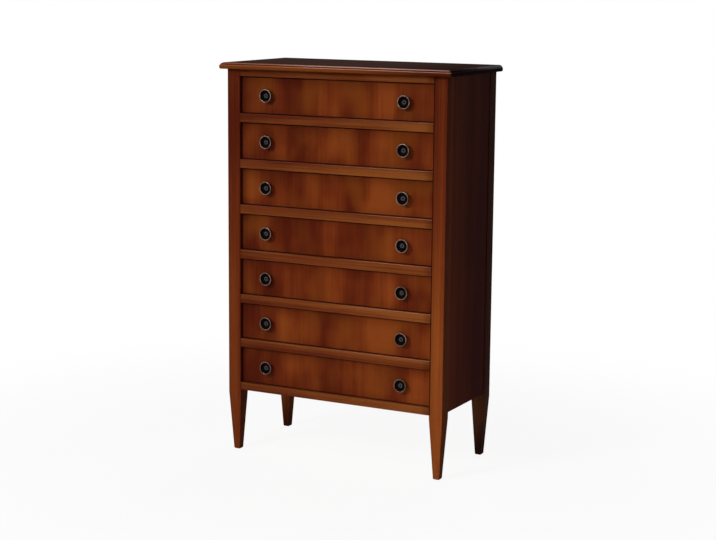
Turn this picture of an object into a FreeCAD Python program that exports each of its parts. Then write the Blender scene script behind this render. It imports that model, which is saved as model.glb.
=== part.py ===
"""Semainier: a tall chest of seven equal drawers on four tapered legs.

Millimetres. +X runs to the right of someone facing the chest, +Y to its back and +Z up.
The origin lies on the floor, under the middle of the top panel.
"""
import FreeCAD, Part
import Sketcher
import os
import re

DRAWERS = 7                     # one for each day of the week, drawer 1 at the top
TINY = 1e-6                     # mm, for finding edges by their place

# --- driving dimensions ----------------------------------------------------------------------
SIZES = {
    # case
    "case_width": 747,          # over the posts
    "case_depth": 357,          # over the posts
    "post_size": 43.5,          # square
    "leg_clearance": 200,       # floor to the underside of the bottom rail
    "leg_taper_height": 190,    # the posts taper below this height
    "foot_size": 20.5,          # square, at the floor
    "foot_rounding": 5,
    # front frame
    "opening_height": 115,      # of each drawer opening
    "divider_height": 27,
    "bottom_rail_height": 24,
    "top_rail_height": 21,
    "tenon_length": 12,
    "tenon_thickness": 14,
    "tenon_shoulder": 4,
    "joint_clearance": 0.1,     # round a tenon, tongue or panel in its groove
    "end_clearance": 0.5,       # past the end of a tenon or tongue
    # side and back panels
    "side_panel_thickness": 12,
    "side_panel_recess": 2,     # behind the outer faces of the posts
    "side_panel_lift": 5,       # above the underside of the bottom rail
    "panel_tongue": 8,          # into the grooves of the posts
    "back_panel_thickness": 6,
    "back_panel_rebate": 10,    # into each back post
    "back_rail_thickness": 22,
    # top panel
    "top_thickness": 20,
    "overhang_side": 17.5,
    "overhang_front": 21.5,
    "overhang_back": 8.5,
    "bead_height": 13,          # lower bead of the edge moulding
    "bead_radius": 2.5,         # along its upper edge
    "nose_radius": 4.4,         # along its lower edge
    "quirk_step": 1.4,          # from the bead in to the thumbnail above it
    "thumbnail_radius": 10.5,
    # what the drawers run on
    "runner_height": 18,
    "runner_bearing": 20,       # how far a runner reaches in past the posts
    "guide_height": 20,
    "stop_length": 40,
    "stop_width": 12,
    "stop_height": 6,
    "stop_inset": 70,           # from a post's inner face to a stop's near end
    "stop_clearance": 0.3,
    # drawers
    "front_gap": 1.2,           # all round a drawer front
    "front_inset": 10,          # drawer front behind the posts
    "front_thickness": 20,
    "front_lap": 10,            # rebate in a drawer front for the drawer sides
    "running_clearance": 0.3,   # drawer side above its runner
    "drawer_side_thickness": 12,
    "drawer_side_drop": 8,      # top of a drawer side below the top of the opening
    "drawer_back_thickness": 12,
    "drawer_back_drop": 6,      # below the drawer sides
    "drawer_back_housing": 4,   # into each drawer side
    "drawer_rear_clearance": 12,
    "drawer_bottom_thickness": 5,
    "drawer_bottom_lift": 9,    # above the lower edge of the drawer sides
    "drawer_bottom_groove": 5,
    # knobs
    "knob_spacing": 470,
    "knob_diameter": 41,
    "knob_height": 18,
    "knob_base_diameter": 22,
    "knob_base_height": 2,
    "knob_neck_diameter": 14,
    "knob_neck_height": 6,
    "knob_rim_height": 5,
    "knob_rim_width": 3.2,
    "knob_rim_fillet": 1.2,
    "knob_dish_depth": 7,
    "knob_boss_diameter": 16,
    "knob_boss_height": 1.2,
    "knob_dimple_diameter": 4,
    "knob_dimple_depth": 1.5,
    "knob_thread_depth": 7,
    # screws
    "screw_clearance": 0.1,     # radial, in every screw hole
    "knob_screw_diameter": 4,
    "knob_screw_head_diameter": 8,
    "knob_screw_head_height": 2.6,
    "top_screw_diameter": 4,
    "top_screw_head_diameter": 8,
    "top_screw_head_height": 2.5,
    "top_screw_bite": 12,       # into the top panel
    "top_screw_margin": 45,     # from the ends of a kicker
    "back_screw_diameter": 3,
    "back_screw_head_diameter": 6,
    "back_screw_head_height": 1.5,
    "back_screw_length": 18,
    "back_screw_margin": 90,    # from the ends of the back panel
}

doc = FreeCAD.newDocument("Semainier")
sheet = doc.addObject("Spreadsheet::Sheet", "Sizes")
for row, (alias, value) in enumerate(SIZES.items(), start=1):
    sheet.set(f"A{row}", alias)
    sheet.set(f"B{row}", str(value))
    sheet.setAlias(f"B{row}", alias)
doc.recompute()

ALIAS = re.compile(r"\b(" + "|".join(sorted(SIZES, key=len, reverse=True)) + r")\b")
nodes = []                      # every sub-part, in the order it is made


# --- helpers ---------------------------------------------------------------------------------
def bind(thing, property_name, formula):
    """Tie one property to a formula written with the names in the sheet."""
    thing.setExpression(property_name, ALIAS.sub(r"Sizes.\1", str(formula)))


def bind_place(thing, x, y, z):
    for axis, formula in zip("xyz", (x, y, z)):
        bind(thing, f"Placement.Base.{axis}", formula)


def mirrored(span):
    """The same span on the other side of the middle plane."""
    low, high = span
    return f"-({high})", f"-({low})"


def grown(span, low=0, high=0):
    """A span made longer at its low and high ends."""
    return f"({span[0]}) - ({low})", f"({span[1]}) + ({high})"


def board(name, x_span, y_span, z_span):
    """A rectangular piece that fills three spans."""
    box = doc.addObject("Part::Box", name)
    for side, (low, high) in zip(("Length", "Width", "Height"), (x_span, y_span, z_span)):
        bind(box, side, f"({high}) - ({low})")
    bind_place(box, x_span[0], y_span[0], z_span[0])
    return box


def rod(name, diameter, length, place, rotation, tip_diameter=None):
    """A round bar, or a cone when the far end has its own diameter."""
    kind = "Part::Cylinder" if tip_diameter is None else "Part::Cone"
    bar = doc.addObject(kind, name)
    if tip_diameter is None:
        bind(bar, "Radius", f"({diameter}) / 2")
    else:
        bind(bar, "Radius1", f"({diameter}) / 2")
        bind(bar, "Radius2", f"({tip_diameter}) / 2")
    bind(bar, "Height", length)
    bar.Placement = FreeCAD.Placement(FreeCAD.Vector(), rotation)
    bind_place(bar, *place)
    return bar


def fused(name, pieces):
    joined = doc.addObject("Part::MultiFuse", name)
    joined.Shapes = pieces
    return joined


def cut_from(name, base, tools):
    """The base with the tools taken away."""
    tool = tools[0]
    if len(tools) > 1:
        tool = doc.addObject("Part::Compound", f"{name}_tools")
        tool.Links = tools
    result = doc.addObject("Part::Cut", name)
    result.Base = base
    result.Tool = tool
    return result


def grouped(name, pieces):
    """Several separate pieces that share one node."""
    group = doc.addObject("Part::Compound", name)
    group.Links = pieces
    return group


def node(label, thing):
    """Record a finished sub-part under the name of its file."""
    thing.Label = label
    nodes.append(thing)
    return thing


def origin_feature(body, role):
    return next(item for item in body.Origin.OriginFeatures if item.Role == role)


def measured(formula):
    """What a formula is worth with the sizes now in the sheet."""
    return float(sheet.evalExpression(ALIAS.sub(r"Sizes.\1", str(formula))))


def outline(body, name, plane, points, height="0"):
    """A closed sketch through points whose coordinates are formulas."""
    sketch = body.newObject("Sketcher::SketchObject", name)
    sketch.AttachmentSupport = [(origin_feature(body, plane), "")]
    sketch.MapMode = "FlatFace"
    bind(sketch, "AttachmentOffset.Base.z", height)
    corners = [[measured(formula) for formula in point] for point in points]
    count = len(points)
    for i, corner in enumerate(corners):
        following = corners[(i + 1) % count]
        sketch.addGeometry(Part.LineSegment(FreeCAD.Vector(*corner, 0),
                                            FreeCAD.Vector(*following, 0)))
    for i in range(count):
        sketch.addConstraint(Sketcher.Constraint("Coincident", i, 2, (i + 1) % count, 1))
    for i, point in enumerate(points):
        for kind, formula, value in zip(("DistanceX", "DistanceY"), point, corners[i]):
            index = sketch.addConstraint(Sketcher.Constraint(kind, i, 1, value))
            bind(sketch, f"Constraints[{index}]", formula)
    return sketch


def padded(body, sketch, name, height):
    pad = body.newObject("PartDesign::Pad", name)
    pad.Profile = sketch
    bind(pad, "Length", height)
    return pad


def rectangle(x_span, y_span):
    """The four corners of a rectangle, for an outline."""
    (x0, x1), (y0, y1) = x_span, y_span
    return [(x0, y0), (x1, y0), (x1, y1), (x0, y1)]


def centred(size):
    return f"-({size}) / 2", f"({size}) / 2"


def edges_where(shape, wanted):
    """Names of the edges whose middle point passes a test."""
    found = []
    for number, edge in enumerate(shape.Edges, start=1):
        if wanted(edge.CenterOfMass):
            found.append(f"Edge{number}")
    return found


def near(a, b):
    return abs(a - b) < TINY


# --- places, as formulas ---------------------------------------------------------------------
FRONT = "(overhang_front - (overhang_front + case_depth + overhang_back) / 2)"
BACK = f"({FRONT} + case_depth)"
POST_INNER = "(case_width / 2 - post_size)"             # x of the inner faces of the posts
POST_CENTRE = "(case_width / 2 - post_size / 2)"
FRONT_POST_BACK = f"({FRONT} + post_size)"
BACK_POST_FRONT = f"({BACK} - post_size)"
PITCH = "(opening_height + divider_height)"


def floor_of(number):
    """Height of the surface that a drawer runs on."""
    return f"(leg_clearance + bottom_rail_height + {DRAWERS - number} * {PITCH})"


CASE_TOP = f"({floor_of(1)} + opening_height + top_rail_height)"
PANEL_OUTER = "(case_width / 2 - side_panel_recess)"    # x of a side panel's outer face
PANEL_INNER = f"({PANEL_OUTER} - side_panel_thickness)"
BETWEEN_POSTS = (f"-{POST_INNER}", POST_INNER)
BACK_PANEL_FRONT = f"({BACK} - back_panel_thickness)"
DRAWER_REAR = f"({BACK_PANEL_FRONT} - drawer_rear_clearance)"
TOWARDS_FRONT = FreeCAD.Rotation(FreeCAD.Vector(1, 0, 0), 90)
UPWARDS = FreeCAD.Rotation()


# --- top panel -------------------------------------------------------------------------------
def rounded_slab(name, x_span, y_span, z_span, rounds):
    """A slab whose front and end edges are rounded at the heights in rounds; its back is square."""
    body = doc.addObject("PartDesign::Body", name)
    plan = outline(body, f"{name}_plan", "XY_Plane", rectangle(x_span, y_span), z_span[0])
    slab = padded(body, plan, f"{name}_blank", f"{z_span[1]} - ({z_span[0]})")
    doc.recompute()
    back_y = measured(y_span[1])
    for number, (height, radius) in enumerate(rounds, start=1):
        level = measured(height)
        softened = body.newObject("PartDesign::Fillet", f"{name}_round_{number}")
        softened.Base = (slab, edges_where(slab.Shape, lambda middle: near(middle.z, level)
                                           and middle.y < back_y - TINY))
        bind(softened, "Radius", radius)
        doc.recompute()
        slab = softened
    body.Tip = slab
    bind_place(body, "0", "0", CASE_TOP)
    return body


def make_top_panel():
    """A slab with a moulding on its front and ends: a rounded bead below and a thumbnail above,
    whose curve starts a little way down inside the bead."""
    half_width = "(case_width / 2 + overhang_side)"
    x_span = (f"-{half_width}", half_width)
    y_span = (f"{FRONT} - overhang_front", f"{BACK} + overhang_back")
    bead = rounded_slab("Bead", x_span, y_span, ("0", "bead_height"),
                        [("0", "min(nose_radius; bead_height * 0.45)"),
                         ("bead_height", "min(bead_radius; bead_height * 0.45)")])
    thumbnail = rounded_slab("Thumbnail", grown(x_span, "-quirk_step", "-quirk_step"),
                             grown(y_span, "-quirk_step"), ("bead_height / 2", "top_thickness"),
                             [("top_thickness", "min(thumbnail_radius; "
                               "top_thickness - bead_height / 2 - quirk_step)")])
    return fused("TopSlab", [bead, thumbnail])


# --- posts -----------------------------------------------------------------------------------
def make_post(name, x, y):
    """A square post whose lower end tapers on all four faces to a small rounded foot."""
    body = doc.addObject("PartDesign::Body", f"{name}_blank")
    square = rectangle(centred("post_size"), centred("post_size"))
    tip = rectangle(centred("foot_size"), centred("foot_size"))
    foot = outline(body, f"{name}_foot", "XY_Plane", tip)
    knee = outline(body, f"{name}_knee", "XY_Plane", square, "leg_taper_height")
    taper = body.newObject("PartDesign::AdditiveLoft", f"{name}_taper")
    taper.Profile = foot
    taper.Sections = [knee]
    taper.Ruled = True
    column = outline(body, f"{name}_column", "XY_Plane", square, "leg_taper_height")
    shaft = padded(body, column, f"{name}_shaft", f"{CASE_TOP} - leg_taper_height")
    doc.recompute()
    softened = body.newObject("PartDesign::Fillet", f"{name}_foot_round")
    softened.Base = (shaft, edges_where(shaft.Shape, lambda middle: near(middle.z, 0)))
    bind(softened, "Radius", "foot_rounding")
    body.Tip = softened
    bind_place(body, x, y, "0")
    return body


# --- rails, with the tenons and mortises that join them to the posts -------------------------
def tenon_span(y_span):
    middle = f"(({y_span[0]}) + ({y_span[1]})) / 2"
    return f"{middle} - tenon_thickness / 2", f"{middle} + tenon_thickness / 2"


def make_rail(name, y_span, z_span):
    """A rail between two posts with a tenon at each end."""
    bar = board(f"{name}_bar", BETWEEN_POSTS, y_span, z_span)
    tenon_x = grown(BETWEEN_POSTS, "tenon_length", "tenon_length")
    tenon_z = grown(z_span, "-tenon_shoulder", "-tenon_shoulder")
    tenons = board(f"{name}_tenons", tenon_x, tenon_span(y_span), tenon_z)
    return fused(name, [bar, tenons])


def mortise(name, y_span, z_span):
    """The hole that a rail's tenons need, right through both posts' inner faces."""
    reach = "tenon_length + end_clearance"
    tenon_y = tenon_span(y_span)
    tenon_z = grown(z_span, "-tenon_shoulder", "-tenon_shoulder")
    return board(name, grown(BETWEEN_POSTS, reach, reach),
                 grown(tenon_y, "joint_clearance", "joint_clearance"),
                 grown(tenon_z, "joint_clearance", "joint_clearance"))


FRONT_RAIL_Y = (FRONT, FRONT_POST_BACK)
BACK_RAIL_Y = (f"{BACK_PANEL_FRONT} - back_rail_thickness", BACK_PANEL_FRONT)
TOP_RAIL_Z = (f"{floor_of(1)} + opening_height", CASE_TOP)
BOTTOM_RAIL_Z = ("leg_clearance", "leg_clearance + bottom_rail_height")
DIVIDER_Z = [(f"{floor_of(n)} - divider_height", floor_of(n)) for n in range(1, DRAWERS)]


# --- screws and their holes ------------------------------------------------------------------
def screw(name, place, rotation, sizes, grow="0"):
    """A screw or, grown, the hole for it: head first, then the shank, along local +Z."""
    head, head_height, shank, length, tip = sizes
    grown_head = f"({head}) + 2 * ({grow})"
    grown_shank = f"({shank}) + 2 * ({grow})"
    grown_tip = None if tip is None else f"({tip}) + 2 * ({grow})"
    top = rod(f"{name}_head", grown_head, head_height, place, rotation, grown_tip)
    stem = rod(f"{name}_shank", grown_shank, length, place, rotation)
    return fused(name, [top, stem])


TOP_SCREW = ("top_screw_head_diameter", "top_screw_head_height", "top_screw_diameter",
             "top_screw_head_height + top_rail_height + top_screw_bite", None)
BACK_SCREW = ("back_screw_head_diameter", "back_screw_head_height", "back_screw_diameter",
              "back_screw_length", "back_screw_diameter")
KNOB_SCREW = ("knob_screw_head_diameter", "knob_screw_head_height", "knob_screw_diameter",
              "knob_screw_head_height + front_thickness + knob_thread_depth - end_clearance", None)


def top_screw_places():
    """Three to a kicker, outside the path of the drawer sides, heads under the kicker."""
    x = f"({POST_INNER} + {PANEL_INNER}) / 2"
    z = f"{TOP_RAIL_Z[0]} - top_screw_head_height"
    rows = (f"{FRONT_POST_BACK} + top_screw_margin",
            f"({FRONT_POST_BACK} + {BACK_POST_FRONT}) / 2",
            f"{BACK_POST_FRONT} - top_screw_margin")
    return [(f"{sign}({x})", y, z) for sign in ("-", "") for y in rows]


def back_screw_places():
    """Round the edge of the back panel: into the two back rails and the two back posts."""
    post_x = f"{POST_INNER} + back_panel_rebate / 2"
    rail_x = f"{POST_INNER} - back_screw_margin"
    low_z = "leg_clearance + bottom_rail_height / 2"
    high_z = f"{CASE_TOP} - top_rail_height / 2"
    places = [(x, BACK, z) for z in (low_z, high_z) for x in (f"-({rail_x})", "0", rail_x)]
    heights = (f"{low_z} + back_screw_margin", f"({low_z} + {high_z}) / 2",
               f"{high_z} - back_screw_margin")
    places += [(f"{sign}({post_x})", BACK, z) for sign in ("-", "") for z in heights]
    return places


def screws(name, places, rotation, sizes):
    return [screw(f"{name}_{i}", place, rotation, sizes)
            for i, place in enumerate(places, start=1)]


def screw_holes(name, places, rotation, sizes):
    return [screw(f"{name}_{i}", place, rotation, sizes, "screw_clearance")
            for i, place in enumerate(places, start=1)]


# --- case ------------------------------------------------------------------------------------
def make_case():
    top_places = top_screw_places()
    back_places = back_screw_places()

    def top_holes(name):
        return screw_holes(name, top_places, UPWARDS, TOP_SCREW)

    def back_holes(name):
        return screw_holes(name, back_places, TOWARDS_FRONT, BACK_SCREW)

    node("top_panel", cut_from("TopPanel", make_top_panel(), top_holes("TopPilot")))

    # side panels, with their edges in grooves of the posts
    panel_x = (PANEL_INNER, PANEL_OUTER)
    panel_y = grown((FRONT_POST_BACK, BACK_POST_FRONT), "panel_tongue", "panel_tongue")
    panel_z = ("leg_clearance + side_panel_lift", CASE_TOP)
    node("side_panel_left", board("SidePanelLeft", mirrored(panel_x), panel_y, panel_z))
    node("side_panel_right", board("SidePanelRight", panel_x, panel_y, panel_z))
    groove_x = grown(panel_x, "joint_clearance", "joint_clearance")
    groove_y = grown(panel_y, "end_clearance", "end_clearance")

    # back panel, in a rebate of each back post
    back_x = grown(BETWEEN_POSTS, "back_panel_rebate", "back_panel_rebate")
    back_y = (BACK_PANEL_FRONT, BACK)
    back_z = ("leg_clearance", CASE_TOP)
    back_blank = board("BackPanelBlank", back_x, back_y, back_z)
    node("back_panel", cut_from("BackPanel", back_blank, back_holes("BackPanelHole")))

    # posts
    front_rails_z = [TOP_RAIL_Z, *DIVIDER_Z, BOTTOM_RAIL_Z]
    for side, sign, span in (("left", "-", mirrored(groove_x)), ("right", "", groove_x)):
        for end in ("front", "back"):
            name = f"{end}_{side}"
            centre_y = f"{FRONT} + post_size / 2" if end == "front" else f"{BACK} - post_size / 2"
            blank = make_post(name, f"{sign}{POST_CENTRE}", centre_y)
            cutters = [board(f"{name}_groove", span, groove_y, panel_z)]
            if end == "front":
                cutters += [mortise(f"{name}_mortise_{i}", FRONT_RAIL_Y, z_span)
                            for i, z_span in enumerate(front_rails_z)]
            else:
                cutters += [mortise(f"{name}_mortise_{i}", BACK_RAIL_Y, z_span)
                            for i, z_span in enumerate((TOP_RAIL_Z, BOTTOM_RAIL_Z))]
                cutters.append(board(f"{name}_rebate", back_x, back_y, back_z))
                cutters += back_holes(f"{name}_pilot")
            node(f"{name}_post", cut_from(f"{name}_post", blank, cutters))

    # rails
    node("top_rail", make_rail("TopRail", FRONT_RAIL_Y, TOP_RAIL_Z))
    node("bottom_rail", make_rail("BottomRail", FRONT_RAIL_Y, BOTTOM_RAIL_Z))
    dividers = [make_rail(f"Divider{i}", FRONT_RAIL_Y, z_span)
                for i, z_span in enumerate(DIVIDER_Z, start=1)]
    node("drawer_dividers", grouped("Dividers", dividers))
    back_rails = grouped("BackRailBlanks", [make_rail("BackTopRail", BACK_RAIL_Y, TOP_RAIL_Z),
                                            make_rail("BackBottomRail", BACK_RAIL_Y, BOTTOM_RAIL_Z)])
    node("back_rails", cut_from("BackRails", back_rails, back_holes("BackRailPilot")))

    # runners, guides and stops for each drawer, and kickers over the top one
    runner_x = (f"{POST_INNER} - runner_bearing", PANEL_INNER)
    guide_x = (POST_INNER, PANEL_INNER)
    run_y = (FRONT_POST_BACK, BACK_POST_FRONT)
    stop_x = (f"{POST_INNER} - stop_inset - stop_length", f"{POST_INNER} - stop_inset")
    stop_front = f"{FRONT} + front_inset + front_thickness + stop_clearance"
    stop_y = (stop_front, f"{stop_front} + stop_width")
    runners, guides, stops = [], [], []
    for n in range(1, DRAWERS + 1):
        level = floor_of(n)
        for side, place in (("Left", mirrored), ("Right", tuple)):
            tag = f"{side}{n}"
            runners.append(board(f"Runner{tag}", place(runner_x), run_y,
                                 (f"{level} - runner_height", level)))
            guides.append(board(f"Guide{tag}", place(guide_x), run_y,
                                (level, f"{level} + guide_height")))
            stops.append(board(f"Stop{tag}", place(stop_x), stop_y,
                               (level, f"{level} + stop_height")))
    node("drawer_runners", grouped("Runners", runners))
    node("drawer_guides", grouped("Guides", guides))
    node("drawer_stops", grouped("Stops", stops))
    kickers = grouped("KickerBlanks", [board("KickerLeft", mirrored(runner_x), run_y, TOP_RAIL_Z),
                                       board("KickerRight", runner_x, run_y, TOP_RAIL_Z)])
    node("kickers", cut_from("Kickers", kickers, top_holes("KickerHole")))

    node("top_screws", grouped("TopScrews", screws("TopScrew", top_places, UPWARDS, TOP_SCREW)))
    node("back_panel_screws", grouped("BackScrews", screws("BackScrew", back_places, TOWARDS_FRONT,
                                                           BACK_SCREW)))


# --- drawers ---------------------------------------------------------------------------------
def make_knob(name, place):
    """A dished round knob, turned about its axis, with a threaded hole in its base."""
    rim = "knob_diameter / 2"
    lip = f"{rim} - knob_rim_width"
    floor = "knob_height - knob_dish_depth"
    boss = "knob_boss_diameter / 2"
    boss_top = f"{floor} + knob_boss_height"
    dimple = "knob_dimple_diameter / 2"
    hole = "knob_screw_diameter / 2 + screw_clearance"
    profile = [
        (hole, "0"),
        ("knob_base_diameter / 2", "0"),
        ("knob_base_diameter / 2", "knob_base_height"),
        ("knob_neck_diameter / 2", "knob_neck_height"),
        (rim, "knob_height - knob_rim_height"),
        (rim, "knob_height"),
        (lip, "knob_height"),
        (lip, f"{floor} + knob_boss_height"),
        (f"{lip} - knob_rim_width", floor),
        (boss, floor),
        (boss, boss_top),
        (dimple, boss_top),
        (dimple, f"{boss_top} - knob_dimple_depth"),
        ("0", f"{boss_top} - knob_dimple_depth"),
        ("0", "knob_thread_depth"),
        (hole, "knob_thread_depth"),
    ]
    body = doc.addObject("PartDesign::Body", name)
    sketch = outline(body, f"{name}_profile", "XZ_Plane", profile)
    turned = body.newObject("PartDesign::Revolution", f"{name}_turning")
    turned.Profile = sketch
    turned.ReferenceAxis = (sketch, ["V_Axis"])
    turned.Angle = 360
    doc.recompute()
    soft = body.newObject("PartDesign::Fillet", f"{name}_rim")
    top = measured("knob_height")
    soft.Base = (turned, edges_where(turned.Shape, lambda middle: near(middle.z, top)))
    bind(soft, "Radius", "knob_rim_fillet")
    body.Tip = soft
    body.Placement = FreeCAD.Placement(FreeCAD.Vector(), TOWARDS_FRONT)
    bind_place(body, *place)
    return body


def make_drawer(number):
    name = f"drawer_{number}"
    level = floor_of(number)
    face_y = f"{FRONT} + front_inset"
    inside_y = f"{face_y} + front_thickness"
    outer_x = f"({POST_INNER} - front_gap)"
    inner_x = f"({outer_x} - drawer_side_thickness)"
    between_sides = (f"-{inner_x}", inner_x)
    side_x = (inner_x, outer_x)
    side_y = (f"{inside_y} - front_lap", DRAWER_REAR)
    side_z = (f"{level} + running_clearance", f"{level} + opening_height - drawer_side_drop")
    panel_z = (f"{side_z[0]} + drawer_bottom_lift",
               f"{side_z[0]} + drawer_bottom_lift + drawer_bottom_thickness")
    panel_x = grown(between_sides, "drawer_bottom_groove", "drawer_bottom_groove")
    panel_y = (f"{inside_y} - drawer_bottom_groove", DRAWER_REAR)
    back_x = grown(between_sides, "drawer_back_housing", "drawer_back_housing")
    back_y = (f"{DRAWER_REAR} - drawer_back_thickness", DRAWER_REAR)
    back_z = (panel_z[1], f"{side_z[1]} - drawer_back_drop")

    # what the bottom and the back leave in the pieces round them
    bottom_groove = (grown(panel_x, "end_clearance", "end_clearance"),
                     grown(panel_y, "end_clearance", 0), grown(panel_z, 0, "joint_clearance"))
    back_housing = (grown(back_x, "end_clearance", "end_clearance"),
                    grown(back_y, "joint_clearance", 0), grown(back_z, 0, "joint_clearance"))

    knob_places = [(f"{sign}knob_spacing / 2", face_y, f"{level} + opening_height / 2")
                   for sign in ("-", "")]
    screw_y = f"{inside_y} + knob_screw_head_height"
    screw_places = [(x, screw_y, z) for x, _, z in knob_places]

    front_z = (f"{level} + front_gap", f"{level} + opening_height - front_gap")
    front_blank = board(f"{name}_front_blank", (f"-{outer_x}", outer_x), (face_y, inside_y),
                        front_z)
    laps = [board(f"{name}_lap_left", mirrored(side_x), side_y, side_z),
            board(f"{name}_lap_right", side_x, side_y, side_z)]
    front_groove = board(f"{name}_front_groove", *bottom_groove)
    holes = screw_holes(f"{name}_front_hole", screw_places, TOWARDS_FRONT, KNOB_SCREW)
    node(f"{name}_front", cut_from(f"{name}_front_cut", front_blank, [*laps, front_groove, *holes]))

    sides = grouped(f"{name}_side_blanks",
                    [board(f"{name}_side_left", mirrored(side_x), side_y, side_z),
                     board(f"{name}_side_right", side_x, side_y, side_z)])
    side_cuts = [board(f"{name}_side_groove", *bottom_groove),
                 board(f"{name}_side_housing", *back_housing)]
    node(f"{name}_sides", cut_from(f"{name}_sides_cut", sides, side_cuts))

    node(f"{name}_back", board(f"{name}_back_board", back_x, back_y, back_z))
    node(f"{name}_bottom", board(f"{name}_bottom_board", panel_x, panel_y, panel_z))
    knobs = [make_knob(f"{name}_knob_{side}", place)
             for side, place in zip(("left", "right"), knob_places)]
    node(f"{name}_knobs", grouped(f"{name}_knob_pair", knobs))
    node(f"{name}_knob_screws", grouped(f"{name}_knob_screw_pair",
                                        screws(f"{name}_knob_screw", screw_places, TOWARDS_FRONT,
                                               KNOB_SCREW)))


make_case()
for drawer in range(1, DRAWERS + 1):
    make_drawer(drawer)
doc.recompute()

# --- checks and export -----------------------------------------------------------------------
for thing in doc.Objects:
    if {"Invalid", "Error"} & set(thing.State):
        raise RuntimeError(f"{thing.Label} did not build: {thing.State}")
for thing in nodes:
    if thing.Shape.isNull() or not thing.Shape.isValid():
        raise RuntimeError(f"{thing.Label} has no valid shape")

os.makedirs("parts", exist_ok=True)
for thing in nodes:
    thing.Shape.exportStep(f"parts/{thing.Label}.step")
    solids = len(thing.Shape.Solids)
    print(f"{thing.Label:24s} {solids:3d} solids {thing.Shape.Volume / 1000:10.1f} cm3")
extent = Part.makeCompound([thing.Shape for thing in nodes]).BoundBox
print(f"{len(nodes)} nodes, {extent.XLength:.1f} x {extent.YLength:.1f} x {extent.ZLength:.1f} mm")
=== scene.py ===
# %% [markdown]
# # A tall chest of seven drawers
#
# This lesson dresses a semainier: a narrow chest with one drawer for each day of the week. Its
# joinery comes ready made, as solids in real metres. What is left for Blender is what the hand and
# the eye meet: stained and lacquered cherry, veneer with its grain upright on the drawer fronts,
# plain beech inside, turned metal knobs, screws, and a quiet studio to see them in.
#
# The solids are loaded first and are never moved. Every measure below is read from them.

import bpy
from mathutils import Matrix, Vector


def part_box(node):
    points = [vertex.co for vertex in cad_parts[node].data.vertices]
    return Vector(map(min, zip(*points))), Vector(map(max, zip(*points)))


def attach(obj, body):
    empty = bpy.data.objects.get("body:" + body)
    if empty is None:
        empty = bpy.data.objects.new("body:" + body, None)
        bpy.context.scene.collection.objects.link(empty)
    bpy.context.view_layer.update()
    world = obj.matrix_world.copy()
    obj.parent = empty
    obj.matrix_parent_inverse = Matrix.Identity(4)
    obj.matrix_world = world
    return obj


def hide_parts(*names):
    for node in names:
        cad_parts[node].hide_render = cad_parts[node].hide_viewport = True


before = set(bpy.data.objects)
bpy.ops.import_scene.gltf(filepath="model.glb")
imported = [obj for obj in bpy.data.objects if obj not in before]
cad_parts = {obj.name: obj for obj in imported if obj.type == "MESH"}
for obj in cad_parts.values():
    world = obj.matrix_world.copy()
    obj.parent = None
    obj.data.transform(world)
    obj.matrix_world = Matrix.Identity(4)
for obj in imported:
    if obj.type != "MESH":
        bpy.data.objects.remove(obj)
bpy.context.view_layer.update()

import math

import bpy
import numpy as np
from mathutils import Matrix, Vector

# %% [markdown]
# ## The measures that the finishes need
#
# A finish follows the boards: a drawer front has its own leaf of veneer, and a rail its own grain.
# So the places of a few boards are read from the solids once, and the patterns use them. The seven
# drawers are equal and evenly spaced, so that one distance, and a height just under the lowest
# drawer to count from, are all it takes to tell which drawer a point belongs to.

# %% Read the measures
post_low, post_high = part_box("front_left_post")
case_front, post_outer, post_inner = post_low.y, -post_low.x, -post_high.x
top_low, top_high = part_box("top_panel")
front_low, front_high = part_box("drawer_7_front")
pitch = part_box("drawer_6_front")[0].z - front_low.z
front_size = front_high - front_low
by_drawer = pitch, front_low.z - 0.010
DRAWERS = range(1, 8)
print("drawer front, in millimetres:", [round(1000 * length, 1) for length in front_size])
print("one drawer every", round(1000 * pitch, 1), "mm")

# %% [markdown]
# ## The camera
#
# A camera is a place, a direction and a lens. The chest is seen from its right, a little from
# above, and from far enough off that its lines hardly converge. Two angles turn the camera, a third
# tilts its head by half a degree, and the matrix that they make is easier to check than a target
# and a constraint.

# %% Camera
FRAME_WIDTH, FOCAL_LENGTH = 716, 1686.0    # both in pixels
SENSOR = 36    # its width in millimetres


def camera_axes(azimuth, pitch_down, roll):
    """Right, up and backward directions of a camera that looks along +Y at azimuth 0, turned to its
    left by the azimuth, tipped down by the pitch, and then rolled about its own line of sight."""
    a, e, r = (math.radians(angle) for angle in (azimuth, pitch_down, roll))
    forward = Vector((-math.sin(a) * math.cos(e), math.cos(a) * math.cos(e), -math.sin(e)))
    right = Vector((math.cos(a), math.sin(a), 0))
    up = right.cross(forward)
    turned_right = right * math.cos(r) + up * math.sin(r)
    turned_up = up * math.cos(r) - right * math.sin(r)
    return turned_right, turned_up, -forward


eye = bpy.data.objects.new("eye", bpy.data.cameras.new("eye"))
eye.data.sensor_width = SENSOR
eye.data.lens = FOCAL_LENGTH / FRAME_WIDTH * SENSOR
eye.data.clip_end = 100
axes = Matrix(camera_axes(azimuth=27.629, pitch_down=9.836, roll=0.486)).transposed()
eye.matrix_world = Matrix.Translation((2.4134, -4.6177, 1.4917)) @ axes.to_4x4()
bpy.context.scene.collection.objects.link(eye)
bpy.context.scene.camera = eye
bpy.context.scene.view_settings.view_transform = "Standard"
print("lens", round(eye.data.lens, 1), "mm")

# %% [markdown]
# ## Writing a finish as sums
#
# A procedural material is a net of nodes, and a net of nodes is hard to read. Most of it is
# arithmetic, so one small class stands for a socket and turns Python's operators into Math nodes:
# `1 - mask * 0.5` adds the nodes that work it out at every point of the surface. All other nodes
# come from `add`, which takes the kind of node, its settings and what goes into its sockets.

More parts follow.
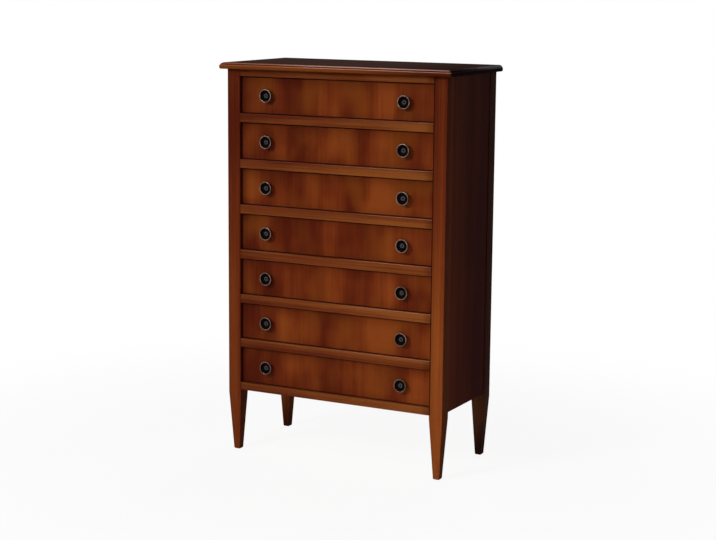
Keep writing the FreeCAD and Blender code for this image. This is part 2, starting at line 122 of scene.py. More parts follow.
# %% Shader maths
class Wire:
    """A value, a vector or a colour in one net of nodes."""

    def __init__(self, tree, socket=None):
        self.tree, self.socket = tree, socket

    def add(self, kind, settings=None, inputs=None, output=0):
        """Any node: its settings first, among them a colour ramp's stops, then its sockets."""
        made = self.tree.nodes.new("ShaderNode" + kind)
        for name, value in (settings or {}).items():
            if name == "stops":
                ramp = made.color_ramp.elements
                ramp[0].position, ramp[0].color = value[0][0], (*value[0][1], 1)
                ramp[1].position, ramp[1].color = value[-1][0], (*value[-1][1], 1)
                for place, colour in value[1:-1]:
                    ramp.new(place).color = (*colour, 1)
            else:
                setattr(made, name, value)
        for name, value in (inputs or {}).items():
            if isinstance(value, Wire):
                self.tree.links.new(value.socket, made.inputs[name])
            else:
                made.inputs[name].default_value = value
        return Wire(self.tree, made.outputs[output] if len(made.outputs) else None)

    def maths(self, operation, *values):
        return self.add("Math", {"operation": operation}, dict(enumerate(values)))

    def __add__(self, other):
        return self.maths("ADD", self, other)

    def __sub__(self, other):
        return self.maths("SUBTRACT", self, other)

    def __rsub__(self, other):
        return self.maths("SUBTRACT", other, self)

    def __mul__(self, other):
        return self.maths("MULTIPLY", self, other)

    def __truediv__(self, other):
        return self.maths("DIVIDE", self, other)

    def __abs__(self):
        return self.maths("ABSOLUTE", self)

    __radd__, __rmul__ = __add__, __mul__

    def ease(self, start, end):
        """0 before start and 1 after end, with a soft rise between; it falls if end comes first."""
        low, high = min(start, end), max(start, end)
        rise = (0, 1) if start < end else (1, 0)
        return self.add("MapRange", {"interpolation_type": "SMOOTHSTEP"},
                        {0: self, 1: low, 2: high, 3: rise[0], 4: rise[1]})

    def near(self, middle, outer, inner):
        """1 less than inner away from middle, and 0 further away than outer."""
        return abs(self - middle).ease(outer, inner)

    def mix(self, first, second):
        """From the first colour to the second, by this value."""
        colours = {6: first if isinstance(first, Wire) else (*first, 1),
                   7: second if isinstance(second, Wire) else (*second, 1)}
        return self.add("Mix", {"data_type": "RGBA"}, {0: self, **colours}, 2)

    def pick(self, places, colours):
        """This value picks from a row of colours, each of which has its place between 0 and 1."""
        return self.add("ValToRGB", {"stops": list(zip(places, colours))}, {0: self})

    def along(self, size, shift=None):
        """This place measured in steps of size, a vector in metres, and moved by shift steps."""
        steps = self.add("Mapping", {}, {"Vector": self, "Scale": [1 / s for s in size]})
        if shift is None:
            return steps
        return self.add("VectorMath", {"operation": "ADD"}, {0: steps, 1: shift})

    def noise(self, detail=2.0, roughness=0.5):
        """A cloudy value about 0.5 that changes over one step or so."""
        return self.add("TexNoise", {}, {"Vector": self, "Scale": 1.0, "Detail": detail,
                                         "Roughness": roughness})

    def part(self, axis):
        """One of the three numbers of a vector: X, Y or Z."""
        return self.add("SeparateXYZ", {}, {0: self}, axis)

    def bump(self, strength, distance):
        """The normal of a surface that this value raises by up to distance metres."""
        return self.add("Bump", {}, {"Strength": strength, "Distance": distance, "Height": self})


print("operators ready")

# %% [markdown]
# ## Opening and closing a finish
#
# Every finish begins with the place of a point on the object, in metres, and ends in one Principled
# shader. What stays the same over a surface is a number set on the shader itself, and only what
# changes from point to point comes in by a wire.

# %% Opening and closing
def new_finish(name):
    """An empty material, the wire that starts its nodes, and the place of a point on the object."""
    made = bpy.data.materials.new(name)
    made.use_nodes = True
    made.node_tree.nodes.clear()
    wire = Wire(made.node_tree)
    return made, wire, wire.add("TexCoord", {}, {}, "Object")


def close_finish(wire, sockets):
    """The Principled shader at the end of a finish: fixed numbers and wires go to its sockets."""
    shader = wire.add("BsdfPrincipled", {}, sockets)
    wire.add("OutputMaterial", {}, {"Surface": shader})


print("a finish reads places in metres")

# %% [markdown]
# ## What all wood has in common
#
# Wood is long in one direction. Seen close, it is fibres about half a millimetre wide; from further
# off it is streaks of some millimetres, and across a board it is slow bands of lighter and darker
# growth. All three are the same cloudy noise, squeezed across the grain and drawn out along it.
# A picture of wood laid on the faces would show grain as well, but it would stop at every edge.
# This grain runs through the whole thickness, so the ends of the boards show it too.

# %% Grain
AXES = {"x": 0, "y": 1, "z": 2}
UNALIKE = (7.31, 3.17, 5.53)


def steps(grain_axis, length, width):
    """The size of one step of noise: length along the grain, and width the other two ways."""
    size = [width] * 3
    size[AXES[grain_axis]] = length
    return size


def grain(place, axis, shift=None, band=0.035, streak=0.0045, fibre=0.0007):
    """Bands, streaks and fibres, each a value about 0.5, for wood whose grain runs along axis."""
    bands = place.along(steps(axis, 1.3, band), shift).noise(1.5, 0.45)
    streaks = place.along(steps(axis, 0.35, streak), shift).noise(3.0, 0.6)
    fibres = place.along(steps(axis, 0.05, fibre), shift).noise(2.0, 0.6)
    return bands, streaks, fibres


def board_shift(place, spacing, start, order=None):
    """A different shift for each board of a stack: the number of the board, counted upwards from
    start in steps of spacing, times three numbers that have nothing in common. order gives every
    board the number of the plank that it was cut from."""
    steps_up = (place.part("Z") - start) / spacing
    number = steps_up.maths("FLOOR", steps_up)
    if order:
        number = sum(number.maths("COMPARE", number, board, 0.5) * plank
                     for board, plank in enumerate(order))
    return number.add("CombineXYZ", {}, {axis: number * by for axis, by in zip("XYZ", UNALIKE)})


print("grain runs along", ", ".join(AXES))

# %% [markdown]
# ## Lacquered cherry
#
# The posts, rails and panels of the case are cherry, stained red-brown and lacquered to a low
# sheen. The stain sits deeper in the soft growth than in the hard, so the bands go from red-brown
# to orange, and it shows every pore as a short dark line. The lacquer is a clear coat over it,
# thinner where the pores are. Sheen comes from that coat alone, so the wood below keeps its colour
# from every side. Boards of one chest are never quite of one colour, which `tone` stands for, but
# on the case it is also painted light and shade: boards that get less light have darker tones.

# %% Lacquered cherry
CHERRY = [(0.092, 0.0135, 0.0038), (0.150, 0.0300, 0.0064), (0.225, 0.0560, 0.0105)]
DEPTHS = (0.1, 0.5, 0.9)
HIGHLIGHT_COLOUR = (0.560, 0.330, 0.265)


def shaded(colour, tone, tint=(1, 1, 1)):
    """A colour times a tone, and each of its three numbers times that of a tint."""
    return [tone * part * shade for part, shade in zip(colour, tint)]


def lacquered_cherry(name, axis, tone=1.0, tint=(1, 1, 1), coat=0.035, shift_by=None, painted_light_drift=None,
                     band=0.035, contrast=1.0, painted_highlight=None, unshaded_strip=None, dull=None, joints_and_painted_shade=None):
    """Stained cherry: the sum of bands, streaks and fibres picks a colour between deep and pale.
    painted_light_drift is an axis, two places on it and how much paler the board gets from one to
    the other, which is painted light, and dull is the same for how much of the coat is taken away.
    painted_highlight takes the place and gives where a highlight is painted on the edges, from 0 to
    1, and joints_and_painted_shade how far dark joints and painted shade darken it; unshaded_strip
    is the tone of a strip that is kept paler than a board darkened as painted shade, and the
    function that gives 1 on it."""
    made, wire, place = new_finish(name)
    shift = board_shift(place, *shift_by) if shift_by else None
    bands, streaks, fibres = grain(place, axis, shift, band)
    pores = place.along(steps(axis, 0.009, 0.0004), shift).noise(1.0).ease(0.60, 0.70)
    clouds = place.along((0.22, 0.22, 0.22), shift).noise(1.0)
    depth = 0.5 + contrast * ((bands - 0.5) * 1.2 + (streaks - 0.5) * 0.8 + (fibres - 0.5) * 0.4
                              + (clouds - 0.5) * 0.5)
    # Painted light: the board's colour grows paler along the axis, towards where more light falls.
    if painted_light_drift:
        along, start, end, much = painted_light_drift
        depth = depth + place.part(along).ease(start, end) * much - much / 2
    colours = [shaded(colour, tone, tint) for colour in CHERRY]
    colour = depth.pick(DEPTHS, colours)
    colour = (pores * 0.45).mix(colour, shaded(colours[0], 0.5))
    if dull:
        along, start, end, much = dull
        coat = coat * (1 - place.part(along).ease(start, end) * much)
    # The strip keeps a paler tone than the rest of the board, whose low tone is painted shade.
    if unshaded_strip:
        tone_of_border, where = unshaded_strip
        border = where(place)
        paler = depth.pick(DEPTHS, [shaded(colour, tone_of_border) for colour in CHERRY])
        colour = border.mix(colour, paler)
        coat = coat * (1 - border * 0.5)
    # Dark joints and painted shade: the colour goes towards a darker copy where the mask is high.
    if joints_and_painted_shade:
        colour = joints_and_painted_shade(place).mix(colour, shaded(colours[0], 0.3))
    # A painted highlight: a pale colour along the edges that the mask picks, and a little more coat
    # there.
    if painted_highlight:
        highlight = painted_highlight(place) * streaks.ease(0.25, 0.55)
        colour = highlight.mix(colour, HIGHLIGHT_COLOUR)
        coat = coat + highlight * 0.2
    relief = fibres * 0.4 + streaks * 0.2 - pores * 0.6
    close_finish(wire, {
        "Base Color": colour, "Roughness": 0.36 + streaks * 0.16 + pores * 0.15,
        "Normal": relief.bump(0.25, 0.0003), "Coat Weight": coat * (1 - pores * 0.6),
        "Coat Roughness": 0.24, "Specular IOR Level": 0.0})
    return made


print("cherry, from deep to pale:", CHERRY)

# %% [markdown]
# ## Painted highlights on the edges
#
# Rounded edges catch the light in thin pale lines, and these highlights are painted into the
# colour, with a little more coat. On the top they are the two high lines of the moulding, most of
# all at the front and towards the right, and on each rail the upper front edge, stronger towards
# the right. Both are narrow, so they are masks on the height, and a streaky noise breaks them up.
# The front moulding is a strip that keeps a paler tone, and the rest of the top is darker as
# painted shade, since little light falls on it.

# %% Painted highlights
UPPER_LINE, HOLLOW, LOWER_LINE = 0.0179, 0.0150, 0.0120    # heights on the moulding, in metres
MOULDING_STRIP_DEPTH = 0.0115    # how far the front moulding strip reaches back, in metres


def front_moulding_strip(place):
    """1 on the moulded front edge of the top, and 0 behind it."""
    return place.part("Y").ease(top_low.y + MOULDING_STRIP_DEPTH + 0.001, top_low.y + MOULDING_STRIP_DEPTH - 0.001)


def moulding_painted_highlight(place):
    """Where a highlight is painted: 1 on the moulding's two high lines at the front, stronger
    towards the right, a little of it at the ends, 0 inside.
    """
    height = place.part("Z") - top_low.z
    upper = height.near(UPPER_LINE, 0.0017, 0.0006) * 0.85
    lower = height.near(LOWER_LINE, 0.0012, 0.0003) * 0.70
    near_end = abs(place.part("X")).ease(top_high.x - 0.012, top_high.x - 0.007) * 0.04
    near_front = place.part("Y").ease(top_low.y + 0.012, top_low.y + 0.007)
    fade = 0.30 + place.part("X").ease(-0.30, 0.05) * 0.70
    return (upper + lower) * near_end.maths("MAXIMUM", near_end, near_front * fade)


def rail_painted_highlight(place):
    """A painted highlight, up to a half, along the upper front edge of each rail, stronger towards
    the right. The edge is 1.3 mm under the drawer front above it, and heights over a front repeat
    drawer by drawer."""
    step = (place.part("Z") - (front_low.z - 0.03)) / pitch
    over_front = step.maths("FRACT", step) * pitch - 0.03
    along_edge = over_front.near(-0.0013, 0.0011, 0.0002)
    near_front = place.part("Y").ease(case_front + 0.004, case_front + 0.001)
    return along_edge * near_front * (0.12 + place.part("X").ease(-0.1, 0.30) * 0.38)


between = [round(1000 * gap, 1) for gap in (UPPER_LINE - HOLLOW, HOLLOW - LOWER_LINE)]
print("from line to hollow to line of the moulding:", between, "mm")

# %% [markdown]
# ## Dark joints and painted shade
#
# The joints of the front posts are dark, and so are the ends of the rails next to them. The rest is
# painted shade: on the sides of the posts, deepening low down, on the face of a post near its left
# arris, in the hollow of the moulding, on the moulded right end of the top and on the feet. Each
# place has its own mask, which gives 0 where there is none of it.

# %% Dark joints and painted shade
def joint_line(place):
    """Near 1 on the edges of the front posts that meet the rails and the drawers, most of all on
    the right post."""
    return (abs(place.part("X")).ease(post_inner + 0.0042, post_inner + 0.0022)
            * place.part("Y").ease(case_front + 0.006, case_front + 0.002)
            * place.part("Z").ease(front_low.z - 0.026, front_low.z - 0.022)
            * (0.58 + place.part("X") * 0.85))


def post_joint_and_painted_shade(left, strength):
    """Dark joints and painted shade on a post whose left arris is at X = left: the joint line,
    painted shade over its sides that deepens low down, and painted shade that fades over 24 mm of
    the face from that arris."""
    def joints_and_painted_shade(place):
        side = abs(place.add("TexCoord", {}, {}, "Normal").part("X")).ease(0.6, 0.9)
        return (joint_line(place) + side * (0.15 + place.part("Z").ease(1.0, 0.3) * 0.42)
                + (1 - side) * place.part("X").ease(left + 0.024, left) * strength)
    return joints_and_painted_shade


def rail_ends(place):
    """A shade over the last 30 mm of a rail at the right, and over the last 5 mm at the left."""
    return (place.part("X").ease(post_inner - 0.032, post_inner - 0.002) * 0.40
            + place.part("X").ease(0.006 - post_inner, 0.001 - post_inner) * 0.25)


def painted_foot_shade(place):
    """Painted shade: high at the floor, where the feet stand in shadow, and 0 above the knee."""
    return place.part("Z").ease(0.14, 0.0) * 0.85


def moulding_painted_shade(place):
    """Painted shade: high in the hollow between the two lines of the front moulding, and on the
    moulded right end, which faces away from the light."""
    front = front_moulding_strip(place)
    hollow = (place.part("Z") - top_low.z).near(HOLLOW, 0.0017, 0.0007) * 0.6
    right_end = place.part("X").ease(top_high.x - 0.017, top_high.x - 0.010) * 0.85
    return hollow * front + right_end * (1 - front)


print("between the stained sides of a post:", round(1000 * (post_outer - post_inner), 1), "mm")

# %% [markdown]
# ## The boards of the case
#
# Each post, rail and panel has its own tone and tint, and a slow drift along it that is painted
# light: a post is paler low down and a rail towards its right, where more light falls, the side
# panels are paler towards the front, the top towards its left end and the back right post on its
# leg. The rails were cut from different planks, and `PLANKS` lists their numbers from the bottom
# rail up. The two side panels share a finish, and so do the rails above and between the drawers.

# %% Finishes of the case
PLANKS = [14, 3, 11, 17, 10, 7, 16, 12]
rail_boards = pitch, front_low.z - pitch / 2, PLANKS
# Tones here are partly painted shade: the top, the back right post and the side panels, and the
# left post beside the right, are darker where less light falls on them.
case_finishes = {
    "front_left_post": lacquered_cherry("cherry_left_post", "z", 0.77, (1, 0.86, 1.05),
                                        painted_light_drift=("Z", 1.15, 0.25, 0.45),
                                        joints_and_painted_shade=post_joint_and_painted_shade(-post_outer, 0.22)),
    "front_right_post": lacquered_cherry("cherry_right_post", "z", 0.98, (1, 1.01, 1.05),
                                         painted_light_drift=("Z", 1.15, 0.30, 0.70),
                                         joints_and_painted_shade=post_joint_and_painted_shade(post_inner, 0.30)),
    "back_left_post": lacquered_cherry("cherry_back_left_post", "z", 0.70, (1, 1.1, 1.3),
                                       joints_and_painted_shade=painted_foot_shade),
    "back_right_post": lacquered_cherry("cherry_back_right_post", "z", 0.37, (1, 1.5, 3.0),
                                        painted_light_drift=("Z", 0.26, 0.16, 0.5), joints_and_painted_shade=painted_foot_shade),
    "top_rail": lacquered_cherry("cherry_rails", "x", 0.89, (1, 1.17, 1.35), contrast=1.4,
                                 shift_by=rail_boards, painted_highlight=rail_painted_highlight, joints_and_painted_shade=rail_ends,
                                 painted_light_drift=("X", -post_outer, post_outer, 0.45)),
    "bottom_rail": lacquered_cherry("cherry_bottom_rail", "x", 1.08, (1, 1.36, 1.5),
                                    shift_by=rail_boards, joints_and_painted_shade=rail_ends,
                                    painted_light_drift=("X", -post_outer, post_outer, 0.20)),
    "side_panel_left": lacquered_cherry("cherry_side_panel", "z", 0.42, (1, 0.72, 1.1), band=0.05,
                                        contrast=0.8, painted_light_drift=("Y", 0.15, -0.16, 0.75)),
    # The top's low tone, its drift and its painted shade darken it: it is painted as getting little
    # light, least at its right end.
    "top_panel": lacquered_cherry("cherry_top", "x", 0.170, (1, 0.9, 1.0), coat=0.038, band=0.06,
                                  contrast=0.8, painted_highlight=moulding_painted_highlight, unshaded_strip=(0.80, front_moulding_strip),
                                  joints_and_painted_shade=moulding_painted_shade, painted_light_drift=("X", 0.36, 0.0, 0.6),
                                  dull=("X", 0.10, 0.38, 0.5)),
}
case_finishes["side_panel_right"] = case_finishes["side_panel_left"]
case_finishes["drawer_dividers"] = case_finishes["top_rail"]
print(len(case_finishes), "parts of the case are cherry")

# %% [markdown]
# ## Veneer on the drawer fronts
#
# Each drawer front is a plain board with a leaf of cherry veneer on its face, laid with the grain
# upright. Leaves are cut one after another from a flitch, so neighbours are alike but never the
# same. A leaf is under a millimetre thick: on the edges of the front its line shows, and behind it
# the quieter wood of the board, stained the same. A thin dark line of painted shade runs round each
# front, for the shadow in the gap around it, and painted shade darkens each front towards the top,
# the bottom and the left, where the rail above and the left post shade it. Leaves from one log
# share a paler band of sapwood, which runs down through all the drawers.
# The number of the drawer, worked out from the height, shifts the rest of the pattern, so one
# material does for all seven.

# %% Veneer
LEAVES = [16, 10, 26, 4, 9, 5, 2]
LEAF_COLOURS = [(0.072, 0.0095, 0.0032), (0.122, 0.0205, 0.0048), (0.198, 0.0420, 0.0083)]
AMBER, PORE, SHADE_COLOUR = (0.185, 0.0480, 0.0070), (0.045, 0.0080, 0.0030), (0.022, 0.0030, 0.0016)


def cherry_veneer(name, leaf):
    """Upright veneer in front of the plane leaf metres behind the face, and plain board behind."""
    made, wire, place = new_finish(name)
    shift = board_shift(place, *by_drawer, LEAVES)
    bands = place.along((0.075, 0.5, 0.32), shift).noise(1.5, 0.45)
    streaks = place.along((0.010, 0.5, 0.30), shift).noise(3.0, 0.6)
    fibres = place.along((0.0008, 0.5, 0.05), shift).noise(2.0, 0.6)
    flame = place.along((0.15, 0.5, 0.14), shift).noise(1.5)
    amber = place.along((0.090, 0.5, 0.16), shift).noise(1.5).ease(0.42, 0.72)
    sapwood = place.part("X").near(0.158, 0.060, 0.015)
    pores = place.along((0.0004, 0.5, 0.006), shift).noise(1.0).ease(0.60, 0.70)
    depth = (0.43 + (bands - 0.5) * 1.8 + (streaks - 0.5) * 0.6 + (fibres - 0.5) * 0.3
             + (flame - 0.5) * 1.45 + sapwood * 0.28)
    colour = depth.pick((0.05, 0.5, 0.95), LEAF_COLOURS)
    colour = (amber * 0.5).mix(colour, AMBER)
    colour = (pores * 0.4).mix(colour, PORE)
    # Painted shade: a thin dark line round each front for the shadow in its gap, and a darker wash
    # towards the top, the bottom and the left.
    up = (place.part("Z") - front_low.z) / pitch
    up = up.maths("FRACT", up) * pitch
    down, from_left = front_size.z - up, place.part("X") + front_size.x / 2
    from_side = from_left.maths("MINIMUM", from_left, front_size.x - from_left)
    from_edge = up.maths("MINIMUM", from_side, up.maths("MINIMUM", up, down))
    painted_shade = (down.ease(0.045, 0.0) * 0.26 + up.ease(0.028, 0.0) * 0.14
            + from_left.ease(0.026, 0.0) * 0.42)
    border = from_edge.ease(0.0032, 0.0016) * 0.8 + painted_shade
    colour = border.mix(colour, SHADE_COLOUR)
    back = place.part("Y").ease(front_low.y + leaf, front_low.y + 1.4 * leaf)
    plain = place.along((0.25, 0.006, 0.006), shift).noise(3.0, 0.6)
    board = plain.ease(0.2, 0.8).mix((0.120, 0.030, 0.010), (0.215, 0.068, 0.022))
    relief = fibres * 0.4 + streaks * 0.2 - pores * 0.6
    close_finish(wire, {
        "Base Color": back.mix(colour, board), "Roughness": 0.34 + streaks * 0.16 + back * 0.15,
        "Coat Weight": 0.035 * (1 - pores * 0.6) * (1 - back * 0.8), "Coat Roughness": 0.24,
        "Normal": relief.bump(0.25, 0.0003), "Specular IOR Level": 0.0})
    return made


veneer = cherry_veneer("cherry_veneer", leaf=0.0007)
front_finishes = {f"drawer_{n}_front": veneer for n in DRAWERS}
print(len(front_finishes), "drawer fronts are veneered")

# %% [markdown]
# ## Wood that nobody stains
#
# Behind the fronts the chest is beech: hard, pale and a little pink, with short dark flecks that
# lie along the grain. Runners, guides, stops and kickers are left bare so that the drawers slide;
# the drawer sides are sanded finer and sealed. The drawer bottoms and the back are thin plywood.
# Its faces are quiet, and its edges show the plies, which is a matter of depth in the sheet: the
# middle ply turns its end grain outwards and looks darker.

# %% Beech and plywood
BEECH = [(0.49, 0.325, 0.195), (0.69, 0.505, 0.335)]


def beech(name, axis, tone=1.0, rough=0.62, shift_by=None, plies=None, stain=(1, 1, 1)):
    """Pale wood with flecks along the grain. plies is the axis through a sheet and its faces."""
    made, wire, place = new_finish(name)
    shift = board_shift(place, *shift_by) if shift_by else None
    bands, streaks, fibres = grain(place, axis, shift, 0.05, 0.006, 0.0008)
    flecks = place.along(steps(axis, 0.0035, 0.0005), shift).noise(0.0).ease(0.66, 0.74)
    depth = 0.5 + (bands - 0.5) * 1.1 + (streaks - 0.5) * 0.9 + (fibres - 0.5) * 0.3
    dark, pale = (shaded(colour, tone, stain) for colour in BEECH)
    colour = depth.ease(0.0, 1.0).mix(dark, pale)
    colour = (flecks * 0.4).mix(colour, shaded(dark, 0.45))
    if plies:
        through, low, high = plies
        core = abs((place.part(through) - (low + high) / 2) / (high - low)).ease(0.19, 0.15)
        colour = (core * 0.55).mix(colour, shaded(dark, 0.55))
    relief = fibres * 0.6 + streaks * 0.3 - flecks * 0.3
    close_finish(wire, {"Base Color": colour, "Roughness": rough + streaks * 0.15,
                        "Normal": relief.bump(0.35, 0.0004), "Specular IOR Level": 0.12})
    return made


back_low, back_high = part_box("back_panel")
inner_finishes = {
    "back_panel": beech("back_plywood", "z", 0.62, 0.6, plies=("Y", back_low.y, back_high.y),
                        stain=(0.85, 0.62, 0.5)),
    "back_rails": beech("beech_rails", "x"),
    "drawer_runners": beech("beech_runners", "y", 0.96, shift_by=(pitch, 0.0)),
    "drawer_stops": beech("beech_stops", "x", 0.92),
}
inner_finishes["drawer_guides"] = inner_finishes["kickers"] = inner_finishes["drawer_runners"]
drawer_sides = beech("sealed_beech_sides", "y", rough=0.5, shift_by=by_drawer)
drawer_back = beech("sealed_beech_back", "x", rough=0.5, shift_by=by_drawer)
for n in DRAWERS:
    low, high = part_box(f"drawer_{n}_bottom")
    inner_finishes[f"drawer_{n}_sides"] = drawer_sides
    inner_finishes[f"drawer_{n}_back"] = drawer_back
    inner_finishes[f"drawer_{n}_bottom"] = beech(f"plywood_bottom_{n}", "x", 1.04, 0.5,
                                                 plies=("Z", low.z, high.z))
print(len(inner_finishes), "parts are beech or plywood")

# %% [markdown]
# ## Giving the solids their finish, and easing their edges
#
# No joiner leaves an edge sharp. Each is eased with a stroke of fine paper, and that narrow flat
# is what catches the light and draws the edge. The solids come as loose triangles with sharp
# corners, so two live modifiers do the work and leave the mesh as it is: Weld joins the corners
# that lie together, and Bevel cuts every edge sharper than forty degrees. Its cuts don't slide
# along the neighbouring edges, because on the moulding that would push a corner out past the
# board. The drawer fronts and the back are drilled through for screws, and a bevel would draw a
# faint line from hole to hole. Their edges lie sheltered inside the case, so they are left crisp.

# %% Dress the solids
WELD_WITHIN, EASED = 1e-6, 0.0005
SHARPER_THAN = math.radians(40)


def dress(part, finish):
    """Put the finish in every slot of a solid."""
    for slot in part.material_slots:
        slot.material = finish


def ease_edges(part):
    """Weld the corners of a solid, and cut its sharp edges half a millimetre back in two facets."""
    weld = part.modifiers.new("closed_corners", "WELD")
    weld.merge_threshold = WELD_WITHIN
    bevel = part.modifiers.new("eased_edges", "BEVEL")
    bevel.width, bevel.segments = EASED, 2
    bevel.limit_method, bevel.angle_limit = "ANGLE", SHARPER_THAN
    bevel.use_clamp_overlap = bevel.loop_slide = False
    bevel.harden_normals = True


left_crisp = {"back_panel", *front_finishes}
all_finishes = {**case_finishes, **front_finishes, **inner_finishes}
for name, finish in all_finishes.items():
    dress(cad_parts[name], finish)
    if name not in left_crisp:
        ease_edges(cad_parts[name])
print("dressed", len(all_finishes), "solids, and eased all but", len(left_crisp))

# %% [markdown]
# ## Turned knobs
#
# The knobs are turned metal: a foot on the drawer, a slim neck, a bell that opens to a thin rim,
# and a dish inside with a small boss in its middle. A lathe makes exactly what a profile carried
# round an axis makes, so that is how they are built. The profile is drawn by its corners, and each
# corner is rounded by cutting it twice at a quarter of its sides, the way a file would take it off.
# A corner that is to stay crisp is written twice.

# %% Lathe work
KNOB_SIDES = 56


def rounded(corners, passes=2):
    """Cut each corner: every side keeps its points at one and three quarters of its length."""
    line = np.asarray(corners, float)
    for _ in range(passes):
        one, other = line[:-1], line[1:]
        cut = np.stack([0.75 * one + 0.25 * other, 0.25 * one + 0.75 * other], 1).reshape(-1, 2)
        line = np.concatenate([line[:1], cut, line[-1:]])
    return line


def turn(profile, segments):
    """Carry the points (r, h) round the axis: (r cos a, r sin a, h). The first and last points lie
    on the axis and are one vertex each, with a fan of triangles round it."""
    angles = np.arange(segments) * 2 * np.pi / segments
    radius, height = profile[1:-1].T
    rings = np.stack([np.outer(radius, np.cos(angles)), np.outer(radius, np.sin(angles)),
                      np.repeat(height[:, None], segments, 1)], 2).reshape(-1, 3)
    points = np.concatenate([rings, [[0, 0, profile[0, 1]], [0, 0, profile[-1, 1]]]])
    rows, columns = np.meshgrid(np.arange(len(radius) - 1), np.arange(segments), indexing="ij")
    here, after = rows * segments + columns, rows * segments + (columns + 1) % segments
    quads = np.stack([here, after, after + segments, here + segments], 2).reshape(-1, 4)
    ring, following = np.arange(segments), (np.arange(segments) + 1) % segments
    last = (len(radius) - 1) * segments
    start = np.stack([following, ring, np.full(segments, len(rings))], 1)
    end = np.stack([last + ring, last + following, np.full(segments, len(rings) + 1)], 1)
    return points, quads, np.concatenate([start, end])


print("a turned piece has", KNOB_SIDES, "sides")

# %% [markdown]
# ## The profile of a knob
#
# Each pair is a distance from the axis and a height off the drawer, in millimetres. The line starts
# at the end of the hole for the screw, goes out under the foot, up the neck and the bell to the
# rim, over it and down into the dish, and ends over the ring of the boss and in the dimple at its
# middle. A fine groove round the outside of the rim parts it in two.

# %% Knob profile
knob_profile = rounded([
    (0, 7), (0, 7), (2.1, 7), (2.1, 7), (2.1, 0), (2.1, 0),
    (10.6, 0), (11, 0), (11, 1.0), (11, 2.0), (10.2, 2.3),
    (7.9, 2.7), (7.1, 4.0), (7.0, 5.6), (7.2, 6.8), (9.4, 8.2), (13.2, 9.6), (17.2, 11.2),
    (19.4, 12.3), (20.4, 13.4), (20.5, 14.4), (20.05, 14.9), (20.05, 15.3), (20.5, 15.7),
    (20.5, 16.9), (20.2, 17.8), (19.4, 18), (18.5, 18), (17.7, 17.9), (17.3, 17.3), (17.1, 15.8),
    (16.6, 13.6), (15.4, 11.6), (13.6, 11.0), (11.0, 11.0), (10.8, 11.25), (10.4, 11.25),
    (10.2, 11.0), (8.5, 11.0), (8.0, 11.0), (8.0, 11.5), (7.5, 12.15), (6.7, 12.2), (5.8, 12.2),
    (5.3, 11.9), (4.7, 11.9), (4.0, 12.2), (2.8, 12.2), (2.0, 11.9), (1.9, 10.9), (1.2, 10.7),
    (0, 10.7)])
knob_parts = turn(knob_profile / 1000, KNOB_SIDES)
print("knob:", len(knob_parts[0]), "points,", round(2 * knob_profile[:, 0].max(), 1), "mm across")

# %% [markdown]
# ## Placing turned pieces
#
# Each knob is a copy of the same points, laid where the solid knob is: its axis runs straight out
# of the drawer front. The place goes into the mesh, and the object stays at the origin. Two things
# are stored with the points for the finish to read: how far each lies from the axis, and how far
# it stands off the drawer. They save the material from having to know where fourteen knobs are.

# %% Copies in one mesh
def gather(name, parts, places, attributes=None, crease=32):
    """One object from copies of the points, quads and triangles in parts. Each place is a centre
    and the three directions that the local x, y and z take, so a point goes to
    centre + x times the first + y times the second + z times the third. Each attribute has one
    value per point, and faces that meet at more than crease degrees keep a crisp edge."""
    points, quads, triangles = parts
    spots = np.concatenate([np.asarray(centre) + points @ np.asarray(axes, float)
                            for centre, axes in places])
    offsets = (np.arange(len(places)) * len(points))[:, None, None]
    faces = [list(face) for block in (quads, triangles)
             for face in (block[None] + offsets).reshape(-1, block.shape[1]).tolist()]
    mesh = bpy.data.meshes.new(name)
    mesh.from_pydata(spots.tolist(), [], faces)
    for key, values in (attributes or {}).items():
        layer = mesh.attributes.new(key, "FLOAT", "POINT")
        layer.data.foreach_set("value", np.tile(values, len(places)).astype(np.float32))
    mesh.shade_smooth()
    mesh.set_sharp_from_angle(angle=math.radians(crease))
    piece = bpy.data.objects.new(name, mesh)
    bpy.context.scene.collection.objects.link(piece)
    return piece


def volume_of(piece):
    """A sixth of a . (b x c), summed over the triangles: positive if the faces point outwards."""
    piece.data.calc_loop_triangles()
    corners = np.array([t.vertices for t in piece.data.loop_triangles])
    points = np.empty(3 * len(piece.data.vertices))
    piece.data.vertices.foreach_get("co", points)
    a, b, c = points.reshape(-1, 3)[corners].transpose(1, 0, 2)
    return float(np.einsum("ij,ij->i", a, np.cross(b, c)).sum() / 6)


print("copies are laid by a centre and three directions")

# %% Knobs in place
OUT_OF_FRONT = ((1, 0, 0), (0, 0, 1), (0, -1, 0))
from_axis = {"off_axis": np.hypot(*knob_parts[0][:, :2].T), "off_drawer": knob_parts[0][:, 2]}
knobs = {}
for n in DRAWERS:
    low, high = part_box(f"drawer_{n}_knobs")
    radius = (high.z - low.z) / 2
    places = [((x, high.y, (low.z + high.z) / 2), OUT_OF_FRONT)
              for x in (low.x + radius, high.x - radius)]
    knobs[n] = gather(f"drawer_{n}_turned_knobs", knob_parts, places, from_axis)
    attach(knobs[n], f"drawer_{n}")
    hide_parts(f"drawer_{n}_knobs")
print("knob pairs of", round(volume_of(knobs[1]) * 1e6, 1), "cm3")

# %% [markdown]
# ## Antiqued metal
#
# The metal was darkened with acid and then rubbed back. The dark stays in the dish and round the
# neck, where the cloth does not reach. The outside of the rim is bare in patches and pale, and the
# ring on the boss is a duller grey. So the colour follows the distance from the axis and the height
# off the drawer, with noise to make the border between dark and bare ragged. Faint turning lines
# run round it.

# %% Knob finish
DARKENED, BARE, BOSS = (0.0052, 0.0034, 0.0030), (0.175, 0.118, 0.094), (0.052, 0.050, 0.052)


